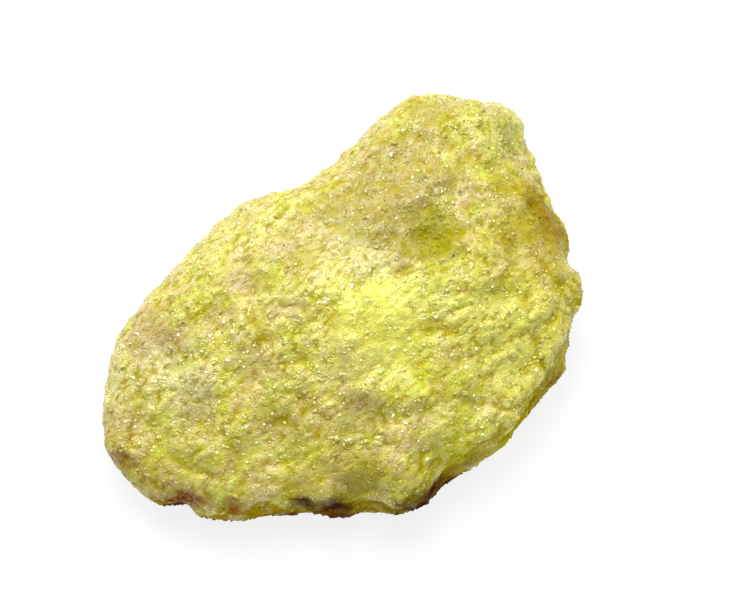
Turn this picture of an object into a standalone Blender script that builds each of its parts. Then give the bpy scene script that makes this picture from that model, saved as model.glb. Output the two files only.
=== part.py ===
"""Native sulfur: a fist-sized lump of massive, sugary-grained sulfur.

The lump lies on its broad underside, Z up, its long side along X.  A box
lattice is wrapped into a rounded stone: its plan follows the measured
outline, its height follows a superellipse, a dozen broken faces trim its
shoulders, and chips, knobs, ridges, swells and a ledge push the skin about.
"""
import math

import bmesh
import bpy
import numpy as np

MM = 0.001

# --- driving sizes, in millimetres ---------------------------------------
COLUMNS = 38                 # lattice cells across the stone, each way
ROWS = 12                    # lattice cells up its side
HEART = (1.0, -4.0)          # the outline is measured round this point
ROOF = 32.5                  # height of the top over the heart
ROOF_TILT = 0.07             # the top rises this much per mm towards the back
RIM_FRONT = 8.0              # height of the widest line, at the front
RIM_BACK = 13.0              # height of the widest line, at the back
RIM_WANDER = 2.2             # the widest line rises and falls by this much
SINK = 2.2                   # the underside is planed flat this far up
TOP_EDGE = 0.86              # share of the reach covered by the lattice's lid
BASE_EDGE = 0.90             # share of the reach covered by its floor
TOP_POWER_FRONT = 2.2        # roundness above the widest line, at the front
TOP_POWER_BACK = 2.7         # the same at the back
BASE_POWER = 3.0             # roundness below it

# the widest line of the stone seen from above, x and y
OUTLINE = (
    (-47.5, -21.5), (-48.5, -28.0), (-46.5, -35.0), (-42.0, -39.0),
    (-37.0, -43.5), (-30.5, -43.0), (-27.0, -45.5), (-18.0, -46.5),
    (-10.5, -46.5), (-2.5, -47.0), (6.0, -45.5), (12.5, -47.0),
    (18.5, -45.0), (21.5, -39.0), (28.0, -35.0), (35.5, -29.5),
    (41.0, -21.0), (45.5, -15.5), (48.0, -9.5), (49.0, -3.5),
    (51.0, 1.0), (51.0, 4.5), (50.0, 10.0), (50.5, 17.0),
    (49.0, 25.0), (45.0, 31.5), (43.0, 38.5), (38.5, 44.0),
    (33.0, 49.5), (25.0, 47.0), (17.5, 47.5), (12.5, 44.0),
    (7.0, 39.0), (1.0, 32.0), (-5.0, 26.5), (-10.5, 22.5),
    (-18.0, 21.5), (-23.5, 18.5), (-27.5, 13.0), (-31.0, 8.5),
    (-33.5, 4.5), (-37.0, 0.5), (-41.5, -4.0), (-45.0, -9.5),
    (-46.5, -15.5),
)

# broken faces: direction they look along, and their distance from the axis
BROKEN_FACES = (
    ((-0.15, -0.45, 0.88), 34.0),      # the long slope down to the front
    ((0.42, -0.36, 0.83), 37.0),       # down to the right front
    ((-0.48, -0.10, 0.87), 42.0),      # down to the left
    ((-0.50, 0.50, 0.71), 38.5),       # upper shoulders at the back
    ((0.76, 0.14, 0.63), 49.5),
    ((0.18, 0.62, 0.76), 53.5),
    ((-0.75, -0.38, -0.54), 44.0),     # lower flanks
    ((0.10, -0.85, -0.52), 38.0),
    ((0.72, -0.45, -0.53), 38.0),
    ((0.78, 0.42, -0.46), 43.0),
    ((-0.55, 0.70, -0.46), 24.0),
)
FACE_BLEND = 1.5             # how softly a broken face meets the rest
SIDEWAYS = 0.8               # share of the relief that works sideways

# humps (+) and hollows (-): x, y, z of the middle, reach and height
SWELLS = (
    (2.0, -8.0, 31.0, 12.0, 1.2),      # the crown
    (-27.0, -2.0, 29.0, 11.0, 1.2),    # shoulder on the left
    (26.0, -14.0, 29.0, 12.0, 1.1),    # shoulder on the right
    (27.0, 36.0, 28.0, 9.0, 1.0),      # the blunt tip
    (19.0, 5.0, 31.0, 6.0, -2.0),      # hollow behind the crown
    (3.0, 15.0, 31.0, 9.0, -2.3),      # saddle across the neck
    (11.0, 24.0, 31.0, 7.0, -1.7),
    (42.0, 12.0, 21.0, 7.0, -3.0),     # deep hollow in the right flank
    (37.0, 4.0, 26.0, 4.0, -1.6),
    (14.0, -22.0, 28.0, 7.0, -1.6),    # trough in front of the crown
    (-16.0, -8.0, 30.0, 5.5, -1.7),
    (-33.0, -17.0, 23.0, 5.5, -1.4),
    (-17.0, -22.0, 26.0, 5.5, -1.5),
    (-27.0, -31.0, 20.0, 5.5, -1.5),
    (-12.0, -38.0, 16.0, 6.0, -1.3),
    (-6.0, -46.0, 4.0, 6.0, -2.4),     # undercuts along the front foot
    (17.0, -42.0, 5.0, 5.0, -2.6),
    (-38.0, -41.0, 5.0, 5.0, -1.5),
    (0.0, -2.0, 0.0, 10.0, 2.6),       # keeps the land whole in the middle
)

SWELL_SPREAD = 0.6           # how far a swell spreads past its reach
SWELL_STRETCH = 0.4          # a swell is drawn out this way up and down

# relief fields: size of a feature, how far it stands out, and its salt
HILLS = (24.0, 1.3, 11)
CHIPS = (18.0, 2.1, 57)
CHIP_CRISPNESS = 9.0         # how suddenly one chipped flat meets the next
KNOBS = ((10.0, 1.0, 21), (5.6, 1.1, 31))
KNOB_MEAN = 0.62             # mean of the knob field, taken off
RIPPLE = (6.5, 0.5, 12)
RIDGES = (5.5, 1.0, 41)      # slanting ridges, on the right half only
RIDGE_TURN = math.radians(38.0)
RIDGE_STRETCH = 2.6
RIGHT_FROM = 14.0            # the right half begins here, in x
RIGHT_BLEND = 5.0

# a crust ledge runs along the right front, with a groove under it
LEDGE_FROM = (14.0, -43.0)
LEDGE_TO = (44.0, -18.0)
LEDGE_HEIGHT = 8.5
LEDGE_CLIMB = 3.0            # it climbs this much from one end to the other
LEDGE_REACH = 9.0
LEDGE_SWAY = (9.0, 1.6, 43)
GROOVE_DEPTH = 2.0
GROOVE_WIDTH = 2.6
LIP_HEIGHT = 0.9             # the crust's lip above the groove
LIP_ABOVE = 4.5
LIP_WIDTH = 3.0


def hashed(cell, salt):
    """Return a repeatable number in 0..1 for every whole-numbered cell."""
    cell = cell.astype(np.int64).astype(np.uint32)
    mixed = cell[..., 0] * np.uint32(73856093)
    mixed = mixed ^ (cell[..., 1] * np.uint32(19349663))
    mixed = mixed ^ (cell[..., 2] * np.uint32(83492791))
    mixed = mixed ^ np.uint32(salt * 2654435761 % 4294967296)
    mixed = (mixed ^ (mixed >> np.uint32(15))) * np.uint32(2246822519)
    mixed = (mixed ^ (mixed >> np.uint32(13))) * np.uint32(3266489917)
    mixed = mixed ^ (mixed >> np.uint32(16))
    return mixed / 4294967295.0


def smooth_noise(points, size, salt):
    """Return soft noise in about -1..1 whose features are `size` across."""
    scaled = points / size
    corner = np.floor(scaled)
    inside = scaled - corner
    blend = inside * inside * (3.0 - 2.0 * inside)
    total = np.zeros(len(points))
    for step in np.ndindex(2, 2, 2):
        offset = np.array(step, dtype=float)
        weight = np.prod(np.where(offset > 0, blend, 1.0 - blend), axis=1)
        total += weight * hashed(corner + offset, salt)
    return 2.0 * total - 1.0


def knob_field(points, size, salt):
    """Return 1 at the middle of a knob, falling to creases between knobs."""
    scaled = points / size
    corner = np.floor(scaled)
    nearest = np.full(len(points), 9.0)
    for step in np.ndindex(3, 3, 3):
        cell = corner + np.array(step, dtype=float) - 1.0
        seed = np.stack([hashed(cell, salt + k) for k in range(3)], axis=1)
        gap = np.sum((cell + seed - scaled) ** 2, axis=1)
        nearest = np.minimum(nearest, gap)
    return 1.0 - np.minimum(nearest, 1.0)


def chip_field(points, size, salt):
    """Return tilted flats about `size` across, as a rough break leaves."""
    scaled = points / size
    corner = np.floor(scaled)
    total = np.zeros(len(points))
    share = np.zeros(len(points))
    for step in np.ndindex(3, 3, 3):
        cell = corner + np.array(step, dtype=float) - 1.0
        seed = np.stack([hashed(cell, salt + k) for k in range(3)], axis=1)
        lean = np.stack([hashed(cell, salt + 3 + k) for k in range(3)], axis=1)
        gap = scaled - cell - seed
        weight = np.exp(-CHIP_CRISPNESS * np.sum(gap**2, axis=1))
        flat = np.sum(gap * (2.0 * lean - 1.0), axis=1)
        total += weight * (flat + 0.6 * lean[:, 0] - 0.3)
        share += weight
    return total / np.maximum(share, 1e-12)


def reach_of(angle):
    """Return the distance from the heart to the outline at each angle."""
    corner = np.array(OUTLINE) - HEART
    turn = np.arctan2(corner[:, 1], corner[:, 0]) % (2.0 * np.pi)
    order = np.argsort(turn)
    turn = turn[order]
    reach = np.hypot(corner[:, 0], corner[:, 1])[order]
    turn = np.concatenate([turn[-2:] - 2 * np.pi, turn, turn[:2] + 2 * np.pi])
    reach = np.concatenate([reach[-2:], reach, reach[:2]])
    slope = (reach[2:] - reach[:-2]) / (turn[2:] - turn[:-2])
    angle = angle % (2.0 * np.pi)
    place = np.searchsorted(turn, angle, side="right") - 1
    place = np.clip(place, 1, len(turn) - 3)
    span = turn[place + 1] - turn[place]
    part = (angle - turn[place]) / span
    start = (2 * part**3 - 3 * part**2 + 1) * reach[place]
    leave = (part**3 - 2 * part**2 + part) * span * slope[place - 1]
    end = (3 * part**2 - 2 * part**3) * reach[place + 1]
    arrive = (part**3 - part**2) * span * slope[place]
    return start + leave + end + arrive


def wrapped(box):
    """Wrap points of the box -1..1 round the stone's plain body, in mm."""
    x, y, z = box.T
    wide = np.abs(x) >= np.abs(y)
    major = np.where(wide, x, y)
    minor = np.where(wide, y, x)
    ratio = minor / np.where(major == 0.0, 1.0, major)
    turn = np.where(wide, ratio, 2.0 - ratio) * np.pi / 4.0
    turn = turn + np.where(major < 0.0, np.pi, 0.0)
    square = np.abs(major)
    back = 0.5 + 0.5 * np.sin(turn)
    above = z >= 0.0
    edge = np.where(above, TOP_EDGE, BASE_EDGE)
    top_power = TOP_POWER_FRONT + (TOP_POWER_BACK - TOP_POWER_FRONT) * back
    power = np.where(above, top_power, BASE_POWER)
    lift = np.abs(z) * (1.0 - edge**power) ** (1.0 / power)
    lid = square < 1.0 - 1e-9
    across = np.where(lid, square * edge, (1.0 - lift**power) ** (1.0 / power))
    lift = np.where(lid, (1.0 - across**power) ** (1.0 / power), lift)
    reach = reach_of(turn)
    out_x = HEART[0] + across * reach * np.cos(turn)
    out_y = HEART[1] + across * reach * np.sin(turn)
    rim = RIM_FRONT + (RIM_BACK - RIM_FRONT) * back
    rim += RIM_WANDER * np.sin(3.0 * turn + 0.6) * np.cos(2.0 * turn - 0.9)
    rise = ROOF + ROOF_TILT * out_y - rim
    out_z = np.where(above, rim + lift * rise, rim - lift * (rim + SINK))
    return np.stack([out_x, out_y, out_z], axis=1)


def broken(points):
    """Trim the shoulders with the broken faces, with a soft edge."""
    middle = np.array([HEART[0], HEART[1], 0.0])
    for look, distance in BROKEN_FACES:
        normal = np.array(look) / np.linalg.norm(look)
        over = (points - middle) @ normal - distance
        trim = FACE_BLEND * np.logaddexp(0.0, over / FACE_BLEND)
        points = points - trim[:, None] * normal
    return points


def ridged(points, size, salt):
    """Return soft noise drawn out along the slant of the ridges."""
    cos, sin = math.cos(RIDGE_TURN), math.sin(RIDGE_TURN)
    along = points[:, 0] * cos + points[:, 1] * sin
    across = points[:, 1] * cos - points[:, 0] * sin
    drawn = np.stack([along / RIDGE_STRETCH, across, points[:, 2]], axis=1)
    return smooth_noise(drawn, size, salt)


def right_half(points):
    """Return 0 on the left and 1 on the right, with a soft step between."""
    return 1.0 / (1.0 + np.exp(-(points[:, 0] - RIGHT_FROM) / RIGHT_BLEND))


def swells(points):
    """Return the named humps and hollows, in mm."""
    height = np.zeros(len(points))
    for x, y, z, reach, rise in SWELLS:
        away = (points - (x, y, z)) * (1.0, 1.0, SWELL_STRETCH)
        spread = SWELL_SPREAD * reach**2
        height += rise * np.exp(-np.sum(away**2, axis=1) / spread)
    return height


def ledge(points):
    """Return the crust ledge and the groove under it, in mm."""
    start = np.array(LEDGE_FROM)
    run = np.array(LEDGE_TO) - start
    share = (points[:, :2] - start) @ run / (run @ run)
    beside = np.clip(share, 0.0, 1.0)[:, None] * run + start
    away = np.linalg.norm(points[:, :2] - beside, axis=1)
    near = np.exp(-((away / LEDGE_REACH) ** 4))
    size, amount, salt = LEDGE_SWAY
    sway = smooth_noise(points, size, salt)
    line = LEDGE_HEIGHT + LEDGE_CLIMB * share + amount * sway
    drop = points[:, 2] - line
    groove = -GROOVE_DEPTH * np.exp(-((drop / GROOVE_WIDTH) ** 2))
    lip = LIP_HEIGHT * np.exp(-(((drop - LIP_ABOVE) / LIP_WIDTH) ** 2))
    return near * (0.6 * (1.0 + sway) * groove + lip)


def relief(points):
    """Return how far the skin stands out of the plain body, in mm."""
    height = swells(points) + ledge(points)
    for size, rise, salt in (HILLS, RIPPLE):
        height += rise * smooth_noise(points, size, salt)
    for size, rise, salt in KNOBS:
        height += rise * (knob_field(points, size, salt) - KNOB_MEAN)
    size, rise, salt = CHIPS
    height += rise * chip_field(points, size, salt)
    size, rise, salt = RIDGES
    return height + rise * right_half(points) * ridged(points, size, salt)


def box_lattice():
    """Build a closed box of COLUMNS x COLUMNS x ROWS cells with bmesh."""
    shape = bmesh.new()
    bmesh.ops.create_cube(shape, size=2.0)
    for axis, cells in ((0, COLUMNS), (1, COLUMNS), (2, ROWS)):
        chosen = []
        for edge in shape.edges:
            run = edge.verts[1].co - edge.verts[0].co
            if abs(run[axis]) > 0.5 * run.length:
                chosen.append(edge)
        bmesh.ops.subdivide_edges(
            shape, edges=chosen, cuts=cells - 1, use_grid_fill=True
        )
    bmesh.ops.recalc_face_normals(shape, faces=shape.faces)
    return shape


def read_points(mesh, name):
    """Return a per-vertex vector of the mesh as an array of rows."""
    flat = np.empty(len(mesh.vertices) * 3)
    mesh.vertices.foreach_get(name, flat)
    return flat.reshape(-1, 3)


def write_points(mesh, points):
    """Move the mesh's vertices to the given rows."""
    mesh.vertices.foreach_set("co", points.ravel())
    mesh.update()


def stone_mesh():
    """Return the finished, closed, triangulated mesh, in metres."""
    shape = box_lattice()
    mesh = bpy.data.meshes.new("sulfur_crystal")
    shape.to_mesh(mesh)
    shape.free()
    plain = broken(wrapped(read_points(mesh, "co")))
    write_points(mesh, plain)
    push = relief(plain)[:, None] * read_points(mesh, "normal")
    skin = plain + push * (SIDEWAYS, SIDEWAYS, 1.0)
    skin[:, 2] = np.maximum(skin[:, 2], 0.0)
    middle = 0.5 * (skin.max(axis=0) + skin.min(axis=0))
    skin[:, :2] -= middle[:2]
    write_points(mesh, skin * MM)
    shape = bmesh.new()
    shape.from_mesh(mesh)
    bmesh.ops.triangulate(shape, faces=shape.faces, quad_method="SHORT_EDGE")
    shape.to_mesh(mesh)
    shape.free()
    return mesh


def sulfur_material():
    """Return the lemon-ochre material of the massive sulfur."""
    material = bpy.data.materials.new("massive_native_sulfur")
    material.use_nodes = True
    surface = material.node_tree.nodes["Principled BSDF"]
    surface.inputs["Base Color"].default_value = (0.66, 0.57, 0.13, 1.0)
    surface.inputs["Roughness"].default_value = 0.45
    surface.inputs["Metallic"].default_value = 0.0
    return material


for old in list(bpy.data.objects):
    bpy.data.objects.remove(old, do_unlink=True)

stone = bpy.data.objects.new("sulfur_crystal", stone_mesh())
stone.data.materials.append(sulfur_material())
stone.data.shade_smooth()
bpy.context.scene.collection.objects.link(stone)
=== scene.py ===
# %% [markdown]
# # A lump of native sulfur
#
# Massive native sulfur is a crust of small sulfur crystals that grew into one
# another beside a volcanic vent.  From a step away it is a lemon-coloured rock;
# close up it looks like damp, fused sugar.  This lesson dresses a plain solid
# of such a lump.  The solid comes in as a fixed frame that is never moved.

# %% Load the frame and note its size
import math

import bpy
import numpy as np
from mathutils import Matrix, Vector


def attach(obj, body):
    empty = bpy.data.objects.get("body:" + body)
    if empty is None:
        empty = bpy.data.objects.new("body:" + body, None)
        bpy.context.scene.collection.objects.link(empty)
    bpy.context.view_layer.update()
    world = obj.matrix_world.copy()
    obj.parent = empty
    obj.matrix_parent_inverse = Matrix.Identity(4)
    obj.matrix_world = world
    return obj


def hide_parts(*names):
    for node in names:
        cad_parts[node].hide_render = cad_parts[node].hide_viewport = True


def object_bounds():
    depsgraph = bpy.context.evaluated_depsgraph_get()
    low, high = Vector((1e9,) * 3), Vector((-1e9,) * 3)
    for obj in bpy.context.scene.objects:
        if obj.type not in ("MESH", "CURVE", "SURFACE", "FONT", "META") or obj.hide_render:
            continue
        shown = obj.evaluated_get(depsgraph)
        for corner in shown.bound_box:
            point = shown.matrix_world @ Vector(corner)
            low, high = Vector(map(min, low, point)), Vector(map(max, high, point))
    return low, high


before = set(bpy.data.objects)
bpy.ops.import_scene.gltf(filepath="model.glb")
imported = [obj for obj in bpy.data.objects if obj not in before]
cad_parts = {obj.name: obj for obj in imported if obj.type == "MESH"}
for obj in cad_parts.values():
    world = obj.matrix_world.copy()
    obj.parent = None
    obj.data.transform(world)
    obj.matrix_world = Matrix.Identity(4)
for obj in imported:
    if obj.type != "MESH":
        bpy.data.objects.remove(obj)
cad_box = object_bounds()
MM = 0.001
NODE = "sulfur_crystal"
print("frame box in mm:", [[round(v / MM, 1) for v in corner] for corner in cad_box])

# %% [markdown]
# ## Noise worked out as whole arrays
#
# A rock has no drawn profile: its skin is a plain body pushed in and out by
# fields of numbers.  Three fields do all of it.  Smooth noise rises and falls
# like low hills.  Knobs are rounded heaps that meet in creases, which is how
# crystals that grew against one another look.  Chips are tilted flats, as a
# break leaves them.  A hash gives each cell of space its own repeatable
# number, so nothing random is left unseeded.

# %% Hash, smooth noise, knobs and chips
CHIP_CRISPNESS, CHIP_STEP = 9.0, 0.6


def hashed(cell, salt):
    """Return a repeatable number in 0..1 for every whole-numbered cell."""
    cell = cell.astype(np.int64).astype(np.uint32)
    mixed = cell[..., 0] * np.uint32(73856093)
    mixed = mixed ^ (cell[..., 1] * np.uint32(19349663))
    mixed = mixed ^ (cell[..., 2] * np.uint32(83492791))
    mixed = mixed ^ np.uint32(salt * 2654435761 % 4294967296)
    mixed = (mixed ^ (mixed >> np.uint32(15))) * np.uint32(2246822519)
    mixed = (mixed ^ (mixed >> np.uint32(13))) * np.uint32(3266489917)
    mixed = mixed ^ (mixed >> np.uint32(16))
    return mixed / 4294967295.0


def smooth_noise(points, size, salt):
    """Blend the hashes of a cell's eight corners: -1..1, `size` mm features."""
    scaled = points / size
    corner = np.floor(scaled)
    inside = scaled - corner
    blend = inside * inside * (3.0 - 2.0 * inside)
    total = np.zeros(len(points))
    for step in np.ndindex(2, 2, 2):
        offset = np.array(step, dtype=float)
        weight = np.prod(np.where(offset > 0, blend, 1.0 - blend), axis=1)
        total += weight * hashed(corner + offset, salt)
    return 2.0 * total - 1.0


def knob_field(points, size, salt):
    """One less the squared distance to the nearest seed: 1 on top, 0 between."""
    scaled = points / size
    corner = np.floor(scaled)
    nearest = np.full(len(points), 9.0)
    for step in np.ndindex(3, 3, 3):
        cell = corner + np.array(step, dtype=float) - 1.0
        seed = np.stack([hashed(cell, salt + k) for k in range(3)], axis=1)
        gap = np.sum((cell + seed - scaled) ** 2, axis=1)
        nearest = np.minimum(nearest, gap)
    return 1.0 - np.minimum(nearest, 1.0)


def chip_field(points, size, salt):
    """Mean of tilted flats, one per seed, weighted by exp(-crispness * gap**2)."""
    scaled = points / size
    corner = np.floor(scaled)
    total = np.zeros(len(points))
    share = np.zeros(len(points))
    for step in np.ndindex(3, 3, 3):
        cell = corner + np.array(step, dtype=float) - 1.0
        seed = np.stack([hashed(cell, salt + k) for k in range(3)], axis=1)
        lean = np.stack([hashed(cell, salt + 3 + k) for k in range(3)], axis=1)
        gap = scaled - cell - seed
        weight = np.exp(-CHIP_CRISPNESS * np.sum(gap**2, axis=1))
        flat = np.sum(gap * (2.0 * lean - 1.0), axis=1)
        total += weight * (flat + CHIP_STEP * lean[:, 0] - 0.5 * CHIP_STEP)
        share += weight
    return total / np.maximum(share, 1e-12)


# %% [markdown]
# ## The plain body
#
# The lump could be sculpted by hand, but then nobody could change its size.
# Here it is a formula instead: a box lattice is wrapped round a heart point.
# Seen from above each point lies at a share of the outline's reach, and seen
# from the side that share and the height follow a superellipse, the curve
# between an ellipse and a rectangle.  The sizes are the solid's own sizes.

# %% Driving sizes of the plain body, in millimetres
HEART = np.array((1.0, -4.0, 0.0))
ROOF, ROOF_TILT = 32.5, 0.07
RIM_FRONT, RIM_BACK = 8.0, 13.0
RIM_WANDER, RIM_THREES, RIM_TWOS = 2.2, 0.6, -0.9        # mm, start angles
SINK = 2.2
TOP_EDGE, BASE_EDGE = 0.86, 0.9
TOP_POWER_FRONT, TOP_POWER_BACK, BASE_POWER = 2.2, 2.7, 3.0
FACE_BLEND = 1.5
SIDEWAYS = 0.8
OUTLINE = np.array((
    (-47.5, -21.5), (-48.5, -28.0), (-46.5, -35.0), (-42.0, -39.0),
    (-37.0, -43.5), (-30.5, -43.0), (-27.0, -45.5), (-18.0, -46.5),
    (-10.5, -46.5), (-2.5, -47.0), (6.0, -45.5), (12.5, -47.0),
    (18.5, -45.0), (21.5, -39.0), (28.0, -35.0), (35.5, -29.5),
    (41.0, -21.0), (45.5, -15.5), (48.0, -9.5), (49.0, -3.5),
    (51.0, 1.0), (51.0, 4.5), (50.0, 10.0), (50.5, 17.0),
    (49.0, 25.0), (45.0, 31.5), (43.0, 38.5), (38.5, 44.0),
    (33.0, 49.5), (25.0, 47.0), (17.5, 47.5), (12.5, 44.0),
    (7.0, 39.0), (1.0, 32.0), (-5.0, 26.5), (-10.5, 22.5),
    (-18.0, 21.5), (-23.5, 18.5), (-27.5, 13.0), (-31.0, 8.5),
    (-33.5, 4.5), (-37.0, 0.5), (-41.5, -4.0), (-45.0, -9.5),
    (-46.5, -15.5),
))
BROKEN_FACES = (
    ((-0.15, -0.45, 0.88), 34.0),
    ((0.42, -0.36, 0.83), 37.0),
    ((-0.48, -0.10, 0.87), 42.0),
    ((-0.50, 0.50, 0.71), 38.5),
    ((0.76, 0.14, 0.63), 49.5),
    ((0.18, 0.62, 0.76), 53.5),
    ((-0.75, -0.38, -0.54), 44.0),
    ((0.10, -0.85, -0.52), 38.0),
    ((0.72, -0.45, -0.53), 38.0),
    ((0.78, 0.42, -0.46), 43.0),
    ((-0.55, 0.70, -0.46), 24.0),
)


def reach_of(angle):
    """Distance from the heart to the outline: a cubic through its points."""
    corner = OUTLINE - HEART[:2]
    turn = np.arctan2(corner[:, 1], corner[:, 0]) % (2.0 * np.pi)
    order = np.argsort(turn)
    turn = turn[order]
    reach = np.hypot(corner[:, 0], corner[:, 1])[order]
    turn = np.concatenate([turn[-2:] - 2 * np.pi, turn, turn[:2] + 2 * np.pi])
    reach = np.concatenate([reach[-2:], reach, reach[:2]])
    slope = (reach[2:] - reach[:-2]) / (turn[2:] - turn[:-2])
    angle = angle % (2.0 * np.pi)
    place = np.searchsorted(turn, angle, side="right") - 1
    place = np.clip(place, 1, len(turn) - 3)
    span = turn[place + 1] - turn[place]
    part = (angle - turn[place]) / span
    start = (2 * part**3 - 3 * part**2 + 1) * reach[place]
    leave = (part**3 - 2 * part**2 + part) * span * slope[place - 1]
    end = (3 * part**2 - 2 * part**3) * reach[place + 1]
    arrive = (part**3 - part**2) * span * slope[place]
    return start + leave + end + arrive


def wrapped(box):
    """Wrap the box: across**n + lift**n = 1, across along the outline."""
    x, y, z = box.T
    wide = np.abs(x) >= np.abs(y)
    major = np.where(wide, x, y)
    minor = np.where(wide, y, x)
    ratio = minor / np.where(major == 0.0, 1.0, major)
    turn = np.where(wide, ratio, 2.0 - ratio) * np.pi / 4.0
    turn = turn + np.where(major < 0.0, np.pi, 0.0)
    square = np.abs(major)
    back = 0.5 + 0.5 * np.sin(turn)
    above = z >= 0.0
    edge = np.where(above, TOP_EDGE, BASE_EDGE)
    top_power = TOP_POWER_FRONT + (TOP_POWER_BACK - TOP_POWER_FRONT) * back
    power = np.where(above, top_power, BASE_POWER)
    lift = np.abs(z) * (1.0 - edge**power) ** (1.0 / power)
    lid = square < 1.0 - 1e-9
    across = np.where(lid, square * edge, (1.0 - lift**power) ** (1.0 / power))
    lift = np.where(lid, (1.0 - across**power) ** (1.0 / power), lift)
    reach = reach_of(turn)
    out_x = HEART[0] + across * reach * np.cos(turn)
    out_y = HEART[1] + across * reach * np.sin(turn)
    rim = RIM_FRONT + (RIM_BACK - RIM_FRONT) * back
    rim += RIM_WANDER * np.sin(3.0 * turn + RIM_THREES) * np.cos(2.0 * turn + RIM_TWOS)
    rise = ROOF + ROOF_TILT * out_y - rim
    out_z = np.where(above, rim + lift * rise, rim - lift * (rim + SINK))
    return np.stack([out_x, out_y, out_z], axis=1)


def broken(points):
    """Trim what lies past each broken face, by a softened overshoot."""
    for look, distance in BROKEN_FACES:
        normal = np.array(look) / np.linalg.norm(look)
        over = (points - HEART) @ normal - distance
        trim = FACE_BLEND * np.logaddexp(0.0, over / FACE_BLEND)
        points = points - trim[:, None] * normal
    return points


# %% [markdown]
# ## Relief that shows from a step away
#
# The same broad relief as on the solid: hills, chipped flats, knobs of 10 and
# 5 mm, slanting ridges on the right half, named swells and hollows, and a
# crust ledge low on the right front with a groove under it.

# %% Broad relief, in millimetres
SWELLS = (
    (2.0, -8.0, 31.0, 12.0, 1.2),
    (-27.0, -2.0, 29.0, 11.0, 1.2),
    (26.0, -14.0, 29.0, 12.0, 1.1),
    (27.0, 36.0, 28.0, 9.0, 1.0),
    (19.0, 5.0, 31.0, 6.0, -2.0),
    (3.0, 15.0, 31.0, 9.0, -2.3),
    (11.0, 24.0, 31.0, 7.0, -1.7),
    (42.0, 12.0, 21.0, 7.0, -3.0),
    (37.0, 4.0, 26.0, 4.0, -1.6),
    (14.0, -22.0, 28.0, 7.0, -1.6),
    (-16.0, -8.0, 30.0, 5.5, -1.7),
    (-33.0, -17.0, 23.0, 5.5, -1.4),
    (-17.0, -22.0, 26.0, 5.5, -1.5),
    (-27.0, -31.0, 20.0, 5.5, -1.5),
    (-12.0, -38.0, 16.0, 6.0, -1.3),
    (-6.0, -46.0, 4.0, 6.0, -2.4),
    (17.0, -42.0, 5.0, 5.0, -2.6),
    (-38.0, -41.0, 5.0, 5.0, -1.5),
    (0.0, -2.0, 0.0, 10.0, 2.6),
)
SWELL_SPREAD, SWELL_STRETCH = 0.6, 0.4
HILLS, RIPPLE = (24.0, 1.3, 11), (6.5, 0.5, 12)          # size, height, salt
CHIPS = (18.0, 2.1, 57)
KNOBS, KNOB_MEAN = ((10.0, 1.0, 21), (5.6, 1.1, 31)), 0.62
RIDGES, RIDGE_STRETCH, RIDGE_TURN = (5.5, 1.0, 41), 2.6, math.radians(38.0)
RIGHT_FROM, RIGHT_BLEND = 14.0, 5.0
LEDGE_FROM, LEDGE_TO, LEDGE_HEIGHT = (14.0, -43.0), (44.0, -18.0), 8.5
LEDGE_CLIMB, LEDGE_REACH, LEDGE_SWAY = 3.0, 9.0, (9.0, 1.6, 43)
GROOVE_DEPTH, GROOVE_WIDTH, GROOVE_SHARE = 2.0, 2.6, 0.6
LIP_HEIGHT, LIP_ABOVE, LIP_WIDTH = 0.9, 4.5, 3.0


def slanted(points, stretch):
    """Turn x and y into along / stretch and across, seen from the ridges' slant."""
    cos, sin = math.cos(RIDGE_TURN), math.sin(RIDGE_TURN)
    along = points[:, 0] * cos + points[:, 1] * sin
    across = points[:, 1] * cos - points[:, 0] * sin
    return np.stack([along / stretch, across, points[:, 2]], axis=1)


def ridged(points, size, salt):
    """Smooth noise drawn out on the slant."""
    return smooth_noise(slanted(points, RIDGE_STRETCH), size, salt)


def right_half(points):
    """1 / (1 + exp(-x)): 0 on the left, 1 on the right, a soft step between."""
    return 1.0 / (1.0 + np.exp(-(points[:, 0] - RIGHT_FROM) / RIGHT_BLEND))


def swells(points):
    """Sum of bell curves, rise * exp(-distance**2), in mm."""
    height = np.zeros(len(points))
    for x, y, z, reach, rise in SWELLS:
        away = (points - (x, y, z)) * (1.0, 1.0, SWELL_STRETCH)
        spread = SWELL_SPREAD * reach**2
        height += rise * np.exp(-np.sum(away**2, axis=1) / spread)
    return height


def ledge(points):
    """A bell-curve dip across the height near the ledge's line, a lip above."""
    start = np.array(LEDGE_FROM)
    run = np.array(LEDGE_TO) - start
    share = (points[:, :2] - start) @ run / (run @ run)
    beside = np.clip(share, 0.0, 1.0)[:, None] * run + start
    away = np.linalg.norm(points[:, :2] - beside, axis=1)
    near = np.exp(-((away / LEDGE_REACH) ** 4))
    size, amount, salt = LEDGE_SWAY
    sway = smooth_noise(points, size, salt)
    line = LEDGE_HEIGHT + LEDGE_CLIMB * share + amount * sway
    drop = points[:, 2] - line
    groove = -GROOVE_DEPTH * np.exp(-((drop / GROOVE_WIDTH) ** 2))
    lip = LIP_HEIGHT * np.exp(-(((drop - LIP_ABOVE) / LIP_WIDTH) ** 2))
    return near * (GROOVE_SHARE * (1.0 + sway) * groove + lip)


def relief(points):
    """Sum of swells, ledge, hills, ripple, knobs, chips and ridges, in mm."""
    height = swells(points) + ledge(points)
    for size, rise, salt in (HILLS, RIPPLE):
        height += rise * smooth_noise(points, size, salt)
    for size, rise, salt in KNOBS:
        height += rise * (knob_field(points, size, salt) - KNOB_MEAN)
    size, rise, salt = CHIPS
    height += rise * chip_field(points, size, salt)
    size, rise, salt = RIDGES
    return height + rise * right_half(points) * ridged(points, size, salt)


# %% [markdown]
# ## The closed lattice
#
# Six grids of squares make a box, and points that share a whole-number place
# are welded into one, so the skin is closed.  Squares of a little over half a
# millimetre are small enough to carry the finest creases of the crust.

# %% Box lattice and its normals


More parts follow.
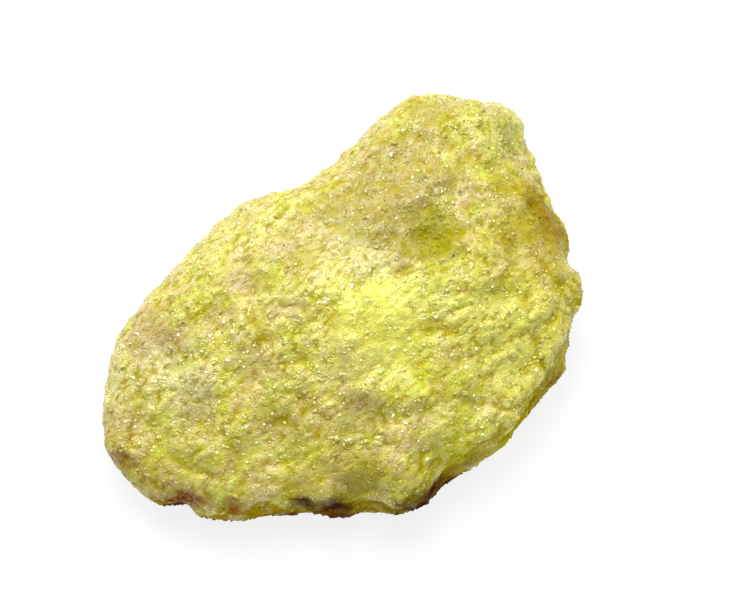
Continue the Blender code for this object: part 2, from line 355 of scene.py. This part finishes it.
def box_lattice(columns, rows):
    """Six grids on a box, welded: points in -1..1, and outward squares."""
    squares = []
    size = np.array((columns, columns, rows))
    for axis in range(3):
        first, second = (axis + 1) % 3, (axis + 2) % 3
        u, v = np.meshgrid(
            np.arange(size[first] + 1), np.arange(size[second] + 1), indexing="ij"
        )
        for side in (0, size[axis]):
            place = np.zeros(u.shape + (3,), dtype=np.int64)
            place[..., axis] = side
            place[..., first] = u
            place[..., second] = v
            ring = (place[:-1, :-1], place[1:, :-1], place[1:, 1:], place[:-1, 1:])
            square = np.stack(ring, axis=2).reshape(-1, 4, 3)
            squares.append(square if side else square[:, ::-1])
    corner = np.concatenate(squares).reshape(-1, 3)
    key = (corner[:, 0] * (columns + 1) + corner[:, 1]) * (rows + 1) + corner[:, 2]
    _, first_use, weld = np.unique(key, return_index=True, return_inverse=True)
    return corner[first_use] / size * 2.0 - 1.0, weld.reshape(-1, 4)


def skin_normals(points, squares):
    """Cross product of each square's diagonals, summed at its corners."""
    corner = points[squares]
    face = np.cross(corner[:, 2] - corner[:, 0], corner[:, 3] - corner[:, 1])
    total = np.zeros_like(points)
    for axis in range(3):
        for turn in range(4):
            total[:, axis] += np.bincount(
                squares[:, turn], weights=face[:, axis], minlength=len(points)
            )
    return total / np.linalg.norm(total, axis=1, keepdims=True)


# %% [markdown]
# ## Creases and lumps of the crust
#
# Between the 5 mm knobs and the single crystals the crust has heaps of 2 to
# 4 mm.  Rounded knobs alone would look like beads, so much of this relief is
# the absolute value of smooth noise instead: it swells gently and falls into
# sharp creases, drawn out a little along the ridges.  All of it is read from a
# slightly warped space, so that no two heaps have the same outline.  How deep
# a point lies between its neighbours is kept as a number for the material,
# which paints the deep places a darker gold as painted shade.

# %% Fine relief of the crust, in millimetres
BEND = (4.0, 1.0, 61)                                    # size, shift, salt
FINE_RIDGES = (2.4, 0.45, 45)                            # size, height, salt
# size, height, salt, share of the depth
CREASES = ((3.4, 0.29, 75, 0.15), (1.9, 0.41, 85, 0.28))
LUMPS = ((3.6, 0.25, 71, 0.15), (1.7, 0.29, 81, 0.25))
CREASE_MEAN, CREASE_STRETCH = 0.27, 1.5
KNOB_DEPTH = 0.15                                        # the same for the small knobs


def warped(points, size, amount, salt):
    """Shift every point by three smooth noises, one for each axis."""
    shift = [smooth_noise(points, size, salt + k) for k in range(3)]
    return points + amount * np.stack(shift, axis=1)


def creased(points, size, salt):
    """|smooth noise| on the slant: rounded heaps with sharp creases between."""
    return np.abs(smooth_noise(slanted(points, CREASE_STRETCH), size, salt))


def crust(points):
    """Sum of ridges, heaps and lumps in mm, and depth: 0 on top, 1 between."""
    bent = warped(points, *BEND)
    size, rise, salt = FINE_RIDGES
    height = rise * right_half(points) * ridged(bent, size, salt)
    size, _, salt = KNOBS[1]
    depth = KNOB_DEPTH * (1.0 - knob_field(points, size, salt))
    for size, rise, salt, share in CREASES:
        swell = creased(bent, size, salt)
        height += rise * (swell - CREASE_MEAN)
        depth += share * (1.0 - np.minimum(2.0 * swell, 1.0))
    for size, rise, salt, share in LUMPS:
        knob = knob_field(bent, size, salt)
        height += rise * (knob - KNOB_MEAN)
        depth += share * (1.0 - knob)
    return height, depth


# %% [markdown]
# ## The skin
#
# The body is pushed out by the broad relief, then by the fine one.  It stays a
# little inside its true size, because the single crystals will stand proud of
# it.  Faces near the foot and faces turned away from the lamps count as deeper,
# so that the material paints them duller and more golden: painted shade.
# Underneath, the lump is worn to a low, slightly rough land.

# %% Build the body skin
COLUMNS, ROWS = 171, 58
PROUD = 0.45                 # the single crystals stand this far out, in mm
# Painted shade: depth added near the foot and on faces turned from the lamps, which the material
# paints more golden and less shiny.
FOOT_TOP, FOOT_FADE, FOOT_SHADE_DEPTH = 14.0, 6.0, 0.15        # mm, mm, depth added
SHADED_SIDE, BODY_SHADE_DEPTH = np.array((0.54, -0.60, -0.59)), 0.35
LAND_TOP, LAND_LEVEL, LAND_ROUGH, LAND_CAP = 0.9, 0.09, 0.3, 0.3

box, squares = box_lattice(COLUMNS, ROWS)
plain = broken(wrapped(box))
outward = skin_normals(plain, squares)
skin = plain + relief(plain)[:, None] * outward * (SIDEWAYS, SIDEWAYS, 1.0)
skin[:, 2] = np.maximum(skin[:, 2], 0.0)
# The depth between the crust's heaps drives painted shade: the material paints deep places a
# darker gold.
rise, hollow = crust(plain)
# Painted shade near the foot and on the side turned from the lamps.
hollow += FOOT_SHADE_DEPTH * np.clip((FOOT_TOP - skin[:, 2]) / FOOT_FADE, 0.0, 1.0)
hollow += BODY_SHADE_DEPTH * np.clip(outward @ SHADED_SIDE, 0.0, 1.0)
skin += (rise - PROUD)[:, None] * skin_normals(skin, squares)
land = LAND_LEVEL - LAND_ROUGH * np.minimum(rise, LAND_CAP)
worn = np.maximum(skin[:, 2], land)
skin[:, 2] = np.where(skin[:, 2] < LAND_TOP, worn, skin[:, 2])
skin[:, 2] -= skin[:, 2].min()
middle = 0.5 * (skin.max(axis=0) + skin.min(axis=0))
frame_middle = 0.5 * (np.array(cad_box[0]) + np.array(cad_box[1])) / MM
skin[:, :2] += frame_middle[:2] - middle[:2]
print("skin:", len(squares) * 2, "triangles, box in mm", np.ptp(skin, axis=0).round(1))
print("depth between the grains:", hollow.min().round(2), "to", hollow.max().round(2))

# %% [markdown]
# ## From arrays to a mesh
#
# Blender takes whole arrays of points and corners.  Each number that belongs
# to a point, such as its depth between the grains, rides along as a named
# attribute that the material can read.

# %% Mesh helper


def mesh_object(name, points, faces, values, smooth):
    """Make an object at the origin from points in mm, faces and attributes."""
    mesh = bpy.data.meshes.new(name)
    mesh.from_pydata((points * MM).tolist(), [], faces.tolist())
    for key, value in values.items():
        layer = mesh.attributes.new(key, "FLOAT", "POINT")
        layer.data.foreach_set("value", value.astype(np.float32))
    mesh.polygons.foreach_set("use_smooth", np.full(len(faces), smooth))
    mesh.update()
    made = bpy.data.objects.new(name, mesh)
    bpy.context.scene.collection.objects.link(made)
    return made


body = mesh_object("sulfur_crust", skin, squares, {"hollow": hollow}, True)
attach(body, "root")
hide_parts(NODE)
print(body.name, len(body.data.vertices), "points,", len(body.data.polygons), "squares")

# %% [markdown]
# ## Single crystals on the skin
#
# What glitters on the real lump are small crystal faces, each a flat mirror
# that catches the light on its own.  A scatter modifier could lay them, but
# arrays keep the same places on every run.  Each crystal here is a blunt grain
# of twenty flat faces.  It is squashed, made uneven and turned at random, and
# its middle lies about a third to a half of its width under the skin.
# Thousands of them are joined into four meshes.  Every corner has its own
# depth, so the material paints a crystal pale on top and golden low down and
# on the side turned from the lamps: painted shade.

# %% Scatter the crystals
GOLDEN = (1.0 + 5.0**0.5) / 2.0
BLUNT = np.array([
    (-1, GOLDEN, 0), (1, GOLDEN, 0), (-1, -GOLDEN, 0), (1, -GOLDEN, 0),
    (0, -1, GOLDEN), (0, 1, GOLDEN), (0, -1, -GOLDEN), (0, 1, -GOLDEN),
    (GOLDEN, 0, -1), (GOLDEN, 0, 1), (-GOLDEN, 0, -1), (-GOLDEN, 0, 1),
]) / math.hypot(1.0, GOLDEN)
BLUNT_FACES = np.array([
    (0, 11, 5), (0, 5, 1), (0, 1, 7), (0, 7, 10), (0, 10, 11),
    (1, 5, 9), (5, 11, 4), (11, 10, 2), (10, 7, 6), (7, 1, 8),
    (3, 9, 4), (3, 4, 2), (3, 2, 6), (3, 6, 8), (3, 8, 9),
    (4, 9, 5), (2, 4, 11), (6, 2, 10), (8, 6, 7), (9, 8, 1),
])
GRAIN_BATCHES = (            # name, count, smallest and largest width in mm, seed
    ("crystals_coarse", 8000, 0.7, 1.4, 1),
    ("crystals_middling", 9700, 0.5, 1.0, 2),
    ("crystals_fine", 9700, 0.4, 0.8, 3),
    ("crystals_finest", 9700, 0.35, 0.7, 4),
)
UNDERSIDE, UNDERSIDE_SHARE = 1.2, 0.15       # below this many mm, few crystals
SUNK = (0.28, 0.48)                          # least and most, shares of the width
SQUASH = (0.35, 1.6)                         # of each of a crystal's three sizes
UNEVEN = (0.88, 1.12)                        # of each corner's reach
# Painted shade: depth added low on each crystal and on its side turned from the lamps; OWN_DEPTH
# is each crystal's own random tone.
CRYSTAL_BASE_SHADE, CRYSTAL_SIDE_SHADE, OWN_DEPTH = 0.4, 0.5, (-0.25, 0.3)


def random_turns(count, rng):
    """Rotation matrices from random unit quaternions."""
    q = rng.normal(size=(count, 4))
    w, x, y, z = (q / np.linalg.norm(q, axis=1, keepdims=True)).T
    rows = (
        (1 - 2 * (y * y + z * z), 2 * (x * y - z * w), 2 * (x * z + y * w)),
        (2 * (x * y + z * w), 1 - 2 * (x * x + z * z), 2 * (y * z - x * w)),
        (2 * (x * z - y * w), 2 * (y * z + x * w), 1 - 2 * (x * x + y * y)),
    )
    return np.stack([np.stack(row, axis=1) for row in rows], axis=1)


def scattered(count, small, large, seed):
    """Crystals at area-weighted places: turn @ (squash * blunt) * width + place."""
    rng = np.random.default_rng(seed)
    corner = skin[squares]
    face = np.cross(corner[:, 2] - corner[:, 0], corner[:, 3] - corner[:, 1])
    area = np.linalg.norm(face, axis=1)
    middle = corner.mean(axis=1)
    area = np.where(middle[:, 2] < UNDERSIDE, UNDERSIDE_SHARE, 1.0) * area
    chosen = rng.choice(len(squares), size=count, p=area / area.sum())
    u, v = rng.random((2, count, 1))
    a, b, c, d = (corner[chosen, k] for k in range(4))
    place = (1 - u) * ((1 - v) * a + v * d) + u * ((1 - v) * b + v * c)
    up = face[chosen] / np.linalg.norm(face[chosen], axis=1, keepdims=True)
    width = rng.uniform(small, large, (count, 1))
    place = place - up * width * rng.uniform(*SUNK, (count, 1))
    squash = rng.uniform(*SQUASH, (count, 1, 3))
    shape = BLUNT * squash * rng.uniform(*UNEVEN, (count, 12, 1))
    turned = np.einsum("nij,nkj->nki", random_turns(count, rng), shape)
    points = place[:, None] + 0.5 * width[:, None] * turned
    points[..., 2] = np.maximum(points[..., 2], 0.0)
    faces = BLUNT_FACES + 12 * np.arange(count)[:, None, None]
    # Painted shade: a crystal is painted more golden low down and on its side turned from the
    # lamps.
    low = -np.einsum("nij,nj->ni", turned, up)
    away = np.clip(turned @ SHADED_SIDE, 0.0, 1.0)
    under = hollow[squares[chosen]].mean(axis=1)[:, None]
    depth = under + CRYSTAL_BASE_SHADE * low + CRYSTAL_SIDE_SHADE * away
    depth = np.clip(depth + rng.uniform(*OWN_DEPTH, (count, 1)), 0.0, 1.0).ravel()
    return points.reshape(-1, 3), faces.reshape(-1, 3), {"hollow": depth}


crystals = []
for name, count, small, large, seed in GRAIN_BATCHES:
    made = mesh_object(name, *scattered(count, small, large, seed), False)
    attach(made, "root")
    crystals.append(made)
    print(name, count, "crystals,", len(made.data.polygons), "triangles")

# %% [markdown]
# ## Sulfur as a material
#
# Sulfur is a resinous, see-through mineral with a very high refractive index,
# about 2, so its faces flash like varnish while its body glows.  Subsurface
# scattering gives the glow of the fused crust.  The colour wanders from pale
# cream through lemon to ochre, drifts towards citron or rose from one cluster
# of crystals to the next, and turns pink where a little iron got in.  Gold is
# painted into the creases and on the side turned from the lamps as painted
# shade, and the foot is painted rust to maroon, partly for its iron stains and
# partly as painted shade.  An image would have to be wrapped round the lump,
# so the colour is laid as washes over noises instead.

# %% Colour and node helpers


def hex_colour(code):
    """Turn an sRGB hex colour into linear light, as shaders expect."""
    parts = [int(code[k:k + 2], 16) / 255.0 for k in (1, 3, 5)]
    linear = [p / 12.92 if p <= 0.04045 else ((p + 0.055) / 1.055) ** 2.4 for p in parts]
    return (*linear, 1.0)


def add(tree, kind, settings, inputs):
    """Add a node with its settings; link each input that is a socket, set the rest."""
    node = tree.nodes.new(kind)
    for key, value in settings.items():
        setattr(node, key, value)
    for key, value in inputs.items():
        if isinstance(value, bpy.types.NodeSocket):
            tree.links.new(value, node.inputs[key])
        else:
            node.inputs[key].default_value = value
    return node


# %% Sulfur's own colours, those of its stains, and the gold of painted shade
PALE = hex_colour("#ECE380")
CREAM = hex_colour("#F4F0B0")
LEMON = hex_colour("#F8F66C")
LIME = hex_colour("#DCE41C")
SUNNY = hex_colour("#E6DC28")
OCHRE = hex_colour("#D4C226")
TAN = hex_colour("#A68E3C")
OLIVE = hex_colour("#A89A28")
MOSS = hex_colour("#A8A006")
GREEN = hex_colour("#D0DA38")
# GOLD is the colour of painted shade in the creases and dips.
GOLD = hex_colour("#B4A004")
ROSE = hex_colour("#E6CA92")
CITRON = hex_colour("#D6DE28")
PINK = hex_colour("#CCAE78")
BROWN = hex_colour("#A07C2C")
RUST = hex_colour("#8E4A0A")
# MAROON is partly iron stain, partly painted shade at the foot.
MAROON = hex_colour("#4A1C0E")

# %% [markdown]
# ## Patches and stains
#
# A patch is a soft ball of colour round a place on the lump.  The first ones
# lie under the golden creases of painted shade, because the sulfur itself is
# tinted there; a few of them also lighten broad places as painted light.  The
# clean places and the stain patches lie over them, because there the colour
# has also crept into the creases.  Besides iron stains, the stain list paints
# shade: gold in the dip on the right flank and maroon in the recesses at the
# foot.  A stain is dull as well, so its share turns the shine down.

# %% Where the colours lie: colour, middle in mm, reach in mm, strength
PATCHES = (
    # Lemon tone and painted light: lightens the right front flank, which gets less light.
    (LEMON, (34.0, -16.0, 22.0), 24.0, 0.7),
    (LEMON, (28.0, 27.0, 31.0), 10.0, 0.5),
    (LEMON, (5.0, -15.0, 32.0), 16.0, 0.9),
    # Paler sulfur and painted light: lightens the upper left flank that faces the lamps.
    (PALE, (-24.0, 8.0, 24.0), 16.0, 0.5),
    (PALE, (-45.0, -24.0, 18.0), 11.0, 0.7),
    (PALE, (-5.5, -23.5, 30.0), 10.0, 0.6),
    (PALE, (2.0, -4.0, 33.0), 11.0, 0.6),
    (PALE, (-17.0, -15.5, 30.0), 9.0, 0.6),
    (CREAM, (-31.0, -27.0, 22.0), 10.0, 0.5),
    (CREAM, (-34.0, -21.0, 23.0), 8.0, 0.5),
    # Painted sheen: a pale spot where the crystals glint most.
    (CREAM, (5.5, -3.0, 33.0), 8.0, 0.5),
    (CREAM, (-9.0, 6.0, 32.0), 10.0, 0.3),
    (CREAM, (-44.5, -24.0, 17.0), 8.0, 0.5),
    (SUNNY, (45.0, -9.0, 18.0), 11.0, 0.8),
    (LIME, (15.0, -23.0, 28.0), 9.0, 0.6),
    (GREEN, (20.0, -10.0, 30.0), 9.0, 0.6),
    (GREEN, (36.0, 32.0, 29.0), 8.0, 0.6),
    (OLIVE, (20.0, 33.0, 32.0), 12.0, 0.4),
    (TAN, (11.0, 14.0, 33.0), 20.0, 0.75),
    (OLIVE, (-2.0, 8.0, 33.0), 9.0, 0.4),
    (OLIVE, (11.0, 4.0, 32.0), 11.0, 0.65),
    (OLIVE, (-8.0, -35.0, 22.0), 8.0, 0.5),
    (OLIVE, (-15.0, -29.0, 25.0), 8.0, 0.4),
    (OLIVE, (-30.0, -13.0, 26.0), 9.0, 0.4),
    (OLIVE, (-32.0, -34.0, 19.0), 9.0, 0.5),
    (OLIVE, (-17.0, -7.0, 32.0), 7.0, 0.3),
    (BROWN, (-9.0, -1.0, 33.0), 8.0, 0.3),
    (OCHRE, (26.0, 0.0, 31.5), 8.0, 0.5),
    (OCHRE, (37.0, -4.0, 26.0), 9.0, 0.5),
    (OCHRE, (12.0, -22.0, 28.0), 6.0, 0.5),
    (PINK, (-39.0, -14.0, 23.0), 8.0, 0.8),
    (PINK, (-21.0, -6.0, 30.0), 6.0, 0.5),
    (PINK, (2.0, -24.0, 29.5), 6.0, 0.9),
    (PINK, (5.0, -30.0, 26.0), 8.0, 0.4),
    (PINK, (14.0, -35.0, 23.0), 8.0, 0.5),
    (PINK, (-22.0, -40.0, 17.5), 6.0, 0.6),
)
CLEAN_SULFUR = (
    (LEMON, (7.0, -17.0, 31.0), 13.0, 0.6),
    (PALE, (27.0, -34.7, 7.0), 10.0, 0.4),
    (PALE, (43.0, -14.0, 9.0), 8.0, 0.35),
)
# Iron stains and tints, and painted shade: gold in the dip on the right flank and maroon in the
# recesses at the foot.
STAINS_AND_SHADE = (
    (MOSS, (19.0, 2.2, 31.0), 9.5, 0.9),
    (SUNNY, (-8.0, -44.0, 13.5), 9.0, 0.5),
    (SUNNY, (20.0, -26.0, 25.0), 8.0, 0.3),
    (LIME, (19.0, -36.0, 18.0), 9.0, 0.4),
    (LIME, (34.5, -29.0, 12.0), 7.0, 0.3),
    (OLIVE, (16.0, 36.0, 31.0), 8.0, 0.3),
    (OLIVE, (33.0, 38.0, 26.0), 7.0, 0.3),
    # Painted shade: gold and brown in the dip on the right flank.
    (GOLD, (42.0, 14.0, 21.0), 17.0, 1.0),
    (BROWN, (42.0, 15.0, 21.0), 9.0, 0.5),
    (GOLD, (37.0, 5.0, 26.0), 8.0, 0.6),
    (GOLD, (-36.0, -40.0, 13.0), 10.0, 0.3),
    (BROWN, (-46.0, -33.0, 14.0), 8.0, 0.4),
    (RUST, (-43.5, -38.0, 12.0), 7.0, 0.45),
    (RUST, (-42.3, -37.0, 15.0), 4.2, 0.8),
    (RUST, (-33.0, -45.0, 10.0), 8.0, 0.5),
    (RUST, (-32.0, -45.3, 10.0), 4.8, 1.0),
    (RUST, (-22.0, -47.5, 9.0), 6.0, 0.5),
    (RUST, (-21.4, -47.6, 12.4), 4.2, 0.6),
    (OLIVE, (4.0, -41.0, 15.0), 9.0, 0.8),
    # Iron stain and painted shadow: maroon in the recesses at the foot.
    (MAROON, (-3.0, -47.5, 6.8), 8.3, 1.0),
    (MAROON, (17.0, -46.0, 7.5), 10.2, 1.0),
)


# %% [markdown]
# ## Patterns from real sizes
#
# Every noise has the size of something on the lump: sugary grains of 1 to 2 mm,
# clusters of them, beds of some six millimetres, and pores of a third of a
# millimetre, the finest size that still shows.  A wash is a tint laid over the
# colour so far, from nothing at one value of a noise to its full share at
# another.

# %% Noises and washes
NOISES = {                   # size in mm, detail, twist, drawn out on the slant
    "grain": (1.7, 3.0, 0.0, False),
    "sweep": (18.0, 3.0, 0.0, False),
    "sugar": (0.8, 3.0, 0.0, True),
    "cluster": (2.4, 2.0, 0.0, True),
    "bed": (6.0, 2.0, 0.0, True),
    "cloud": (3.0, 3.0, 0.0, False),
    "crinkle": (1.3, 4.0, 0.5, True),
    "pores": (0.35, 2.0, 0.0, False),
}
SULFUR_WASHES = (            # tint, noise, where it starts, where it is full, share
    (PALE, "grain", 0.34, 0.66, 1.0),
    (SUNNY, "sweep", 0.40, 0.65, 0.3),
    (PALE, "sugar", 0.40, 0.60, 0.6),
    (CITRON, "cluster", 0.50, 0.66, 0.65),
    (ROSE, "cluster", 0.50, 0.34, 0.65),
    (ROSE, "bed", 0.50, 0.66, 0.5),
    (CITRON, "bed", 0.50, 0.34, 0.5),
)
CREASE_SHADE_WASHES = (
    # Painted shade: gold where the crinkle bump dips and where the depth between grains is
    # large.
    (GOLD, "crinkle", 0.50, 0.34, 0.85),
    (GOLD, "hollow", 0.30, 0.80, 1.0),
)
# Partly iron stain, partly painted shade: the foot darkens to brown and maroon low down; the
# specks are small maroon dots.
FOOT_WASHES = (              # the heights are in metres, as Object coordinates are
    (MAROON, "speck", 0.055, 0.035, 0.9),                # shares of the spacing
    (BROWN, "height", 9.5 * MM, 6.0 * MM, 0.5),
    (MAROON, "height", 7.0 * MM, 4.0 * MM, 0.95),
)
SPECK_SPACING = 5.0                                      # mm
WANDER_SIZE, WANDER_DETAIL, WANDER_REACH = 9.0, 4.0, 18.0
CLOUD_FROM, CLOUD_TO = 0.38, 0.60
PATCH_LEAST, STAIN_AND_SHADE_LEAST = 0.60, 0.98        # shares left where the cloud is thin
PATCH_CORE = 0.3             # within this share of its reach a patch is full
SMOOTH, RGBA = {"interpolation_type": "SMOOTHSTEP"}, {"data_type": "RGBA"}
TIMES, LARGER = {"operation": "MULTIPLY"}, {"operation": "MAXIMUM"}


def washed(tree, colour, values, washes):
    """Lay each tint over the last, by a smooth step of its value."""
    for tint, name, start, full, most in washes:
        share = add(tree, "ShaderNodeMapRange", SMOOTH, {
            "Value": values[name], "From Min": start, "From Max": full, "To Max": most,
        }).outputs[0]
        colour = add(tree, "ShaderNodeMix", RGBA, {0: share, 6: colour, 7: tint}).outputs[2]
    return colour


def patched(tree, colour, patches, place, cloud):
    """Lay each patch over the last; its share is a smooth step of distance * cloud."""
    shares = []
    for tint, middle, reach, strength in patches:
        away = add(tree, "ShaderNodeVectorMath", {"operation": "DISTANCE"}, {
            0: place, 1: tuple(v * MM for v in middle),
        }).outputs["Value"]
        ball = add(tree, "ShaderNodeMapRange", SMOOTH, {
            "Value": away, "From Min": reach * MM, "From Max": PATCH_CORE * reach * MM,
            "To Max": strength,
        }).outputs[0]
        share = add(tree, "ShaderNodeMath", TIMES, {0: ball, 1: cloud}).outputs[0]
        colour = add(tree, "ShaderNodeMix", RGBA, {0: share, 6: colour, 7: tint}).outputs[2]
        shares.append(share)
    return colour, shares


# %% [markdown]
# ## Two finishes of one mineral
#
# The fused crust glows and is a little rough.  The single crystals are smoother
# and brighter, and take no scattering of their own, because most of them are
# smaller than the reach of the glow.  One function makes both finishes, so the
# crystals have the colour of the crust that they stand on.

# %% The sulfur material
SULFUR_IOR = 2.0
GLOW_REACH, GLOW_TINT = 1.2, (1.0, 0.9, 0.15)            # mm, and share of it per colour
ROUGH_FROM, ROUGH_TO = 0.3, 0.7
DULL_FROM, DULL_TO, STAIN_AND_SHADE_SHINE = 0.25, 0.60, 0.1
CRINKLE_HEIGHT, PORE_HEIGHT = 0.6, 0.2                   # mm


def sulfur_values(tree, place):
    """Every noise of the table, the depth between grains, specks and height."""
    slant = add(tree, "ShaderNodeMapping", {"vector_type": "TEXTURE"}, {
        "Vector": place, "Rotation": (0.0, 0.0, RIDGE_TURN), "Scale": (CREASE_STRETCH, 1.0, 1.0),
    }).outputs[0]
    values = {}
    for name, (size, detail, twist, drawn) in NOISES.items():
        values[name] = add(tree, "ShaderNodeTexNoise", {}, {
            "Vector": slant if drawn else place, "Scale": 1.0 / (size * MM),
            "Detail": detail, "Distortion": twist,
        }).outputs["Fac"]
    depth = add(tree, "ShaderNodeAttribute", {"attribute_name": "hollow"}, {})
    values["hollow"] = depth.outputs["Fac"]
    spacing = {"Vector": place, "Scale": 1.0 / (SPECK_SPACING * MM)}
    values["speck"] = add(tree, "ShaderNodeTexVoronoi", {}, spacing).outputs["Distance"]
    return values


def ragged_place(tree, place):
    """Bend space by a coarse noise, so that no patch has a round edge."""
    wander = add(tree, "ShaderNodeTexNoise", {}, {
        "Vector": place, "Scale": 1.0 / (WANDER_SIZE * MM), "Detail": WANDER_DETAIL,
    }).outputs["Color"]
    centred = add(tree, "ShaderNodeVectorMath", {"operation": "SUBTRACT"}, {
        0: wander, 1: (0.5, 0.5, 0.5),
    }).outputs[0]
    return add(tree, "ShaderNodeVectorMath", {"operation": "MULTIPLY_ADD"}, {
        0: centred, 1: (WANDER_REACH * MM,) * 3, 2: place,
    }).outputs[0]


def native_sulfur(name, roughness, shine, glow, bumps):
    """Massive native sulfur, grown from vapour: resinous, glowing, fused."""
    material = bpy.data.materials.new(name)
    material.use_nodes = True
    tree = material.node_tree
    surface = tree.nodes["Principled BSDF"]
    place = add(tree, "ShaderNodeTexCoord", {}, {}).outputs["Object"]
    bent = ragged_place(tree, place)
    values = sulfur_values(tree, place)
    values["height"] = add(tree, "ShaderNodeSeparateXYZ", {}, {"Vector": bent}).outputs["Z"]
    cloud, stain_and_shade_cloud = (
        add(tree, "ShaderNodeMapRange", SMOOTH, {
            "Value": values["cloud"], "From Min": CLOUD_FROM, "From Max": CLOUD_TO,
            "To Min": least,
        }).outputs[0]
        for least in (PATCH_LEAST, STAIN_AND_SHADE_LEAST)
    )

    colour = washed(tree, OCHRE, values, SULFUR_WASHES)
    colour, _ = patched(tree, colour, PATCHES, bent, cloud)
    # Painted shade: gold in the creases.
    colour = washed(tree, colour, values, CREASE_SHADE_WASHES)
    colour, _ = patched(tree, colour, CLEAN_SULFUR, bent, stain_and_shade_cloud)
    colour, shares = patched(tree, colour, STAINS_AND_SHADE, bent, stain_and_shade_cloud)
    colour = washed(tree, colour, values, FOOT_WASHES)
    tree.links.new(colour, surface.inputs["Base Color"])

    # Stain patches and painted shade turn the shine down.
    stain_and_shade = shares[0]
    for share in shares[1:]:
        stain_and_shade = add(tree, "ShaderNodeMath", LARGER, {0: stain_and_shade, 1: share}).outputs[0]

    rough = add(tree, "ShaderNodeMapRange", SMOOTH, {
        "Value": values["cloud"], "From Min": ROUGH_FROM, "From Max": ROUGH_TO,
        "To Min": roughness[0], "To Max": roughness[1],
    })
    tree.links.new(rough.outputs[0], surface.inputs["Roughness"])
    open_shine = add(tree, "ShaderNodeMapRange", {}, {
        "Value": values["hollow"], "From Min": DULL_FROM, "From Max": DULL_TO,
        "To Min": shine, "To Max": 0.0,
    }).outputs[0]
    clean = add(tree, "ShaderNodeMapRange", {}, {
        "Value": stain_and_shade, "To Min": 1.0, "To Max": STAIN_AND_SHADE_SHINE,
    }).outputs[0]
    level = add(tree, "ShaderNodeMath", TIMES, {0: open_shine, 1: clean})
    surface.inputs["Specular IOR Level"].default_value = shine
    tree.links.new(level.outputs[0], surface.inputs["Specular IOR Level"])

    surface.inputs["IOR"].default_value = SULFUR_IOR
    surface.inputs["Subsurface Weight"].default_value = glow
    surface.inputs["Subsurface Radius"].default_value = GLOW_TINT
    surface.inputs["Subsurface Scale"].default_value = GLOW_REACH * MM
    rounded = add(tree, "ShaderNodeBump", {}, {
        "Height": values["crinkle"], "Strength": bumps, "Distance": CRINKLE_HEIGHT * MM,
    })
    pitted = add(tree, "ShaderNodeBump", {}, {
        "Height": values["pores"], "Strength": bumps, "Distance": PORE_HEIGHT * MM,
        "Normal": rounded.outputs["Normal"],
    })
    tree.links.new(pitted.outputs["Normal"], surface.inputs["Normal"])
    return material


# %% Give the crust and the crystals their finishes
FINISHES = (                 # name, least and most roughness, shine, glow, bumps, pieces
    ("fused_native_sulfur", (0.12, 0.30), 0.35, 0.5, 0.9, [body]),
    ("native_sulfur_crystals", (0.05, 0.15), 0.65, 0.0, 0.35, crystals),
)
for name, roughness, shine, glow, bumps, pieces in FINISHES:
    finish = native_sulfur(name, roughness, shine, glow, bumps)
    for piece in pieces:
        piece.data.materials.append(finish)
    print(name, len(finish.node_tree.nodes), "nodes on", len(pieces), "pieces")

# %% [markdown]
# ## Floor, light and camera
#
# A specimen is shot on a bright white table, under a broad soft ceiling.  Four
# smaller lamps draw sparks: a crystal face glints only when it mirrors a lamp,
# so their sizes and places set how many glints there are and how bright.

# %% Floor
FLOOR_SIDE, FLOOR_DROP = 2.0, 0.05 * MM
CARD, CARD_ROUGHNESS, CARD_GLOW = "#6E6E6E", 0.9, 0.84


def white_floor():
    """A square matte card just under the lump, lit a little from below."""
    mesh = bpy.data.meshes.new("white_table")
    half = FLOOR_SIDE / 2.0
    ring = [(x * half, y * half, -FLOOR_DROP) for x, y in ((-1, -1), (1, -1), (1, 1), (-1, 1))]
    mesh.from_pydata(ring, [], [(0, 1, 2, 3)])
    material = bpy.data.materials.new("matte_white_card")
    material.use_nodes = True
    surface = material.node_tree.nodes["Principled BSDF"]
    surface.inputs["Base Color"].default_value = hex_colour(CARD)
    surface.inputs["Roughness"].default_value = CARD_ROUGHNESS
    surface.inputs["Emission Color"].default_value = hex_colour("#FFFFFF")
    surface.inputs["Emission Strength"].default_value = CARD_GLOW
    mesh.materials.append(material)
    floor = bpy.data.objects.new("white_table", mesh)
    bpy.context.scene.collection.objects.link(floor)
    return floor


white_floor()
print("table:", FLOOR_SIDE, "m wide")

# %% Light
LAMPS = (                    # name, place and side in metres, watts
    ("soft_ceiling", (-0.05, 0.25, 0.80), 1.10, 3.0),
    ("window", (-0.10, 0.26, 0.84), 0.45, 4.3),
    ("back_window", (-0.04, 0.60, 0.70), 0.30, 1.5),
    ("side_window", (-0.60, 0.52, 0.45), 0.22, 0.9),
    ("right_window", (0.50, 0.42, 0.62), 0.22, 0.7),
)
ROOM_LIGHT = 0.30

for name, place, side, watts in LAMPS:
    light = bpy.data.lights.new(name, "AREA")
    light.size = side
    light.energy = watts
    lamp = bpy.data.objects.new(name, light)
    lamp.location = place
    lamp.rotation_euler = (-Vector(place)).to_track_quat("-Z", "Y").to_euler()
    bpy.context.scene.collection.objects.link(lamp)

world = bpy.data.worlds.new("bright_room")
world.use_nodes = True
sky = world.node_tree.nodes["Background"]
sky.inputs["Color"].default_value = hex_colour("#FFFFFF")
sky.inputs["Strength"].default_value = ROOM_LIGHT
bpy.context.scene.world = world
bpy.context.scene.view_settings.view_transform = "Standard"
print("lamps:", [name for name, *_ in LAMPS])

# %% Camera
LOOK_DOWN, DISTANCE = math.radians(60.0), 420.0 * MM
AIM = Vector((4.6, -0.9, 13.5)) * MM
LENS, SENSOR = 98.5, 36.0                                # mm

lens = bpy.data.cameras.new("camera")
lens.lens = LENS
lens.sensor_width = SENSOR
camera = bpy.data.objects.new("camera", lens)
back = Vector((0.0, -math.cos(LOOK_DOWN), math.sin(LOOK_DOWN)))
camera.location = AIM + back * DISTANCE
camera.rotation_euler = (-back).to_track_quat("-Z", "Y").to_euler()
bpy.context.scene.collection.objects.link(camera)
bpy.context.scene.camera = camera
print("camera at", [round(v / MM) for v in camera.location], "mm")
